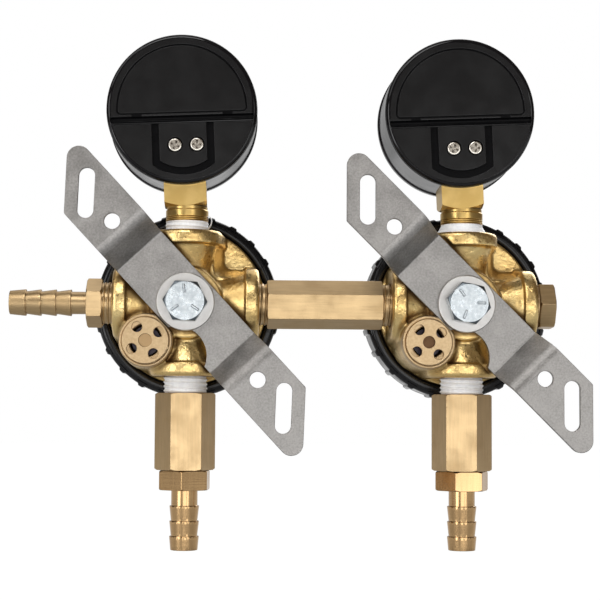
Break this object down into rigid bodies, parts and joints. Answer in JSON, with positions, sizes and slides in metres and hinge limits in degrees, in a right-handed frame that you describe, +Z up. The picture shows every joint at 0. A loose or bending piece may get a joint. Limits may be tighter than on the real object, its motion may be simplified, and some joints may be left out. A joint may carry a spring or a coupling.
{
  "type": "gas pressure regulator assembly",
  "caption": "Wall-mounted twin low-pressure gas regulator: brass bodies joined by a hex nipple, gauges above, check valves and hose barbs below, joggled steel straps.",
  "frame": {"origin": "on the wall plane, midway between the two regulators, at the height of the port axes", "axes": "+X along the row of regulators, away from the inlet barb; +Y out of the wall, towards dials and screws; +Z up"},
  "size_m": [0.1912, 0.0916, 0.171],
  "materials": {
    "cast_brass": "sand cast, lightly tumbled, machined port faces",
    "bar_brass": "turned and milled hexagon bar, dull",
    "stem_brass": "milled square bar, bright",
    "stainless": "blanked and formed sheet, tumbled grain",
    "spring_steel": "drawn wire",
    "zinc_steel": "bright zinc plate",
    "washer_steel": "pressed, satin",
    "bonnet_black": "moulded, glossy",
    "case_black": "gloss enamel on drawn steel",
    "cover_black": "moulded, satin",
    "diaphragm_rubber": "fabric reinforced sheet",
    "seal_rubber": "moulded seal on a disc",
    "ptfe": "thin sealing tape",
    "dial_white": "printed scale",
    "pointer_black": "stamped and painted",
    "window": "clear moulded window"
  },
  "bodies": {
    "root": {"end_plug": "bar_brass", "gauge_frames": "stem_brass", "gauge_screws": "zinc_steel", "hex_nipple": "bar_brass", "inlet_barb": "bar_brass", "left_body_casting": "cast_brass", "left_bonnet": "bonnet_black", "left_bourdon_tube": "stem_brass", "left_bracket": "stainless", "left_check_body": "bar_brass", "left_check_spring": "spring_steel", "left_diaphragm": "diaphragm_rubber", "left_gauge_case": "case_black", "left_gauge_cover": "cover_black", "left_gauge_dial": "dial_white", "left_gauge_lens": "window", "left_gauge_socket": "stem_brass", "left_outlet_barb": "bar_brass", "left_poppet_spring": "spring_steel", "left_range_spring": "spring_steel", "left_relief_spring": "spring_steel", "mount_bolts": "zinc_steel", "mount_washers": "washer_steel", "relief_caps": "bar_brass", "right_body_casting": "cast_brass", "right_bonnet": "bonnet_black", "right_bourdon_tube": "stem_brass", "right_bracket": "stainless", "right_check_body": "bar_brass", "right_check_spring": "spring_steel", "right_diaphragm": "diaphragm_rubber", "right_gauge_case": "case_black", "right_gauge_cover": "cover_black", "right_gauge_dial": "dial_white", "right_gauge_lens": "window", "right_gauge_socket": "stem_brass", "right_outlet_barb": "bar_brass", "right_poppet_spring": "spring_steel", "right_range_spring": "spring_steel", "right_relief_spring": "spring_steel", "thread_tape": "ptfe", "valve_seats": "bar_brass"},
    "left_spring_button": {"left_spring_button": "zinc_steel"},
    "left_adjusting_screw": {"left_adjusting_screw": "zinc_steel"},
    "left_lock_nut": {"left_lock_nut": "zinc_steel"},
    "left_inlet_valve": {"left_valve_poppet": "bar_brass", "left_diaphragm_plate": "bar_brass"},
    "left_relief_poppet": {"left_relief_poppet": "seal_rubber"},
    "left_check_poppet": {"left_check_poppet": "bar_brass"},
    "left_gauge_sector": {"left_gauge_sector": "stem_brass"},
    "left_gauge_pointer": {"left_gauge_pointer": "pointer_black"},
    "right_spring_button": {"right_spring_button": "zinc_steel"},
    "right_adjusting_screw": {"right_adjusting_screw": "zinc_steel"},
    "right_lock_nut": {"right_lock_nut": "zinc_steel"},
    "right_inlet_valve": {"right_valve_poppet": "bar_brass", "right_diaphragm_plate": "bar_brass"},
    "right_relief_poppet": {"right_relief_poppet": "seal_rubber"},
    "right_check_poppet": {"right_check_poppet": "bar_brass"},
    "right_gauge_sector": {"right_gauge_sector": "stem_brass"},
    "right_gauge_pointer": {"right_gauge_pointer": "pointer_black"}
  },
  "joints": [
    {"name": "left_screw_feed", "type": "slide", "parent": "root", "child": "left_spring_button", "axis": [0, 1, 0], "range_m": [-0.003, 0.003], "deforming": ["left_range_spring"]},
    {"name": "left_screw_turn", "type": "hinge", "parent": "left_spring_button", "child": "left_adjusting_screw", "pos_m": [-0.04625, 0.077, 0], "axis": [0, 1, 0], "range_deg": [-866, 866]},
    {"name": "left_lock_nut_turn", "type": "hinge", "parent": "root", "child": "left_lock_nut", "pos_m": [-0.04625, 0.078, 0], "axis": [0, 1, 0], "range_deg": [0, 360]},
    {"name": "left_valve_lift", "type": "slide", "parent": "root", "child": "left_inlet_valve", "axis": [0, 1, 0], "range_m": [-0.0008, 0], "stiffness_N_per_m": 600, "springref_m": 0.001, "deforming": ["left_diaphragm", "left_poppet_spring", "left_range_spring"]},
    {"name": "left_relief_lift", "type": "slide", "parent": "root", "child": "left_relief_poppet", "axis": [0, 1, 0], "range_m": [-0.001, 0], "stiffness_N_per_m": 900, "springref_m": 0.001, "deforming": ["left_relief_spring"]},
    {"name": "left_check_lift", "type": "slide", "parent": "root", "child": "left_check_poppet", "axis": [0, 0, 1], "range_m": [-0.002, 0], "stiffness_N_per_m": 60, "springref_m": 0.003, "deforming": ["left_check_spring"]},
    {"name": "left_sector_swing", "type": "hinge", "parent": "root", "child": "left_gauge_sector", "pos_m": [-0.04751, 0.024, 0.05197], "axis": [0, -1, 0], "range_deg": [-54, 0], "stiffness_Nm_per_rad": 0.002},
    {"name": "left_pointer_turn", "type": "hinge", "parent": "root", "child": "left_gauge_pointer", "pos_m": [-0.04806, 0.026, 0.06396], "axis": [0, -1, 0], "range_deg": [0, 270]},
    {"name": "right_screw_feed", "type": "slide", "parent": "root", "child": "right_spring_button", "axis": [0, 1, 0], "range_m": [-0.003, 0.003], "deforming": ["right_range_spring"]},
    {"name": "right_screw_turn", "type": "hinge", "parent": "right_spring_button", "child": "right_adjusting_screw", "pos_m": [0.04625, 0.077, 0], "axis": [0, 1, 0], "range_deg": [-866, 866]},
    {"name": "right_lock_nut_turn", "type": "hinge", "parent": "root", "child": "right_lock_nut", "pos_m": [0.04625, 0.078, 0], "axis": [0, 1, 0], "range_deg": [0, 360]},
    {"name": "right_valve_lift", "type": "slide", "parent": "root", "child": "right_inlet_valve", "axis": [0, 1, 0], "range_m": [-0.0008, 0], "stiffness_N_per_m": 600, "springref_m": 0.001, "deforming": ["right_diaphragm", "right_poppet_spring", "right_range_spring"]},
    {"name": "right_relief_lift", "type": "slide", "parent": "root", "child": "right_relief_poppet", "axis": [0, 1, 0], "range_m": [-0.001, 0], "stiffness_N_per_m": 900, "springref_m": 0.001, "deforming": ["right_relief_spring"]},
    {"name": "right_check_lift", "type": "slide", "parent": "root", "child": "right_check_poppet", "axis": [0, 0, 1], "range_m": [-0.002, 0], "stiffness_N_per_m": 60, "springref_m": 0.003, "deforming": ["right_check_spring"]},
    {"name": "right_sector_swing", "type": "hinge", "parent": "root", "child": "right_gauge_sector", "pos_m": [0.04499, 0.024, 0.05197], "axis": [0, -1, 0], "range_deg": [-54, 0], "stiffness_Nm_per_rad": 0.002},
    {"name": "right_pointer_turn", "type": "hinge", "parent": "root", "child": "right_gauge_pointer", "pos_m": [0.04444, 0.026, 0.06396], "axis": [0, -1, 0], "range_deg": [0, 270]}
  ],
  "couplings": [
    {"joint": "left_screw_turn", "follows": "left_screw_feed", "rad_per_m": 5026.5},
    {"joint": "left_pointer_turn", "follows": "left_sector_swing", "ratio": -5},
    {"joint": "right_screw_turn", "follows": "right_screw_feed", "rad_per_m": 5026.5},
    {"joint": "right_pointer_turn", "follows": "right_sector_swing", "ratio": -5}
  ]
}
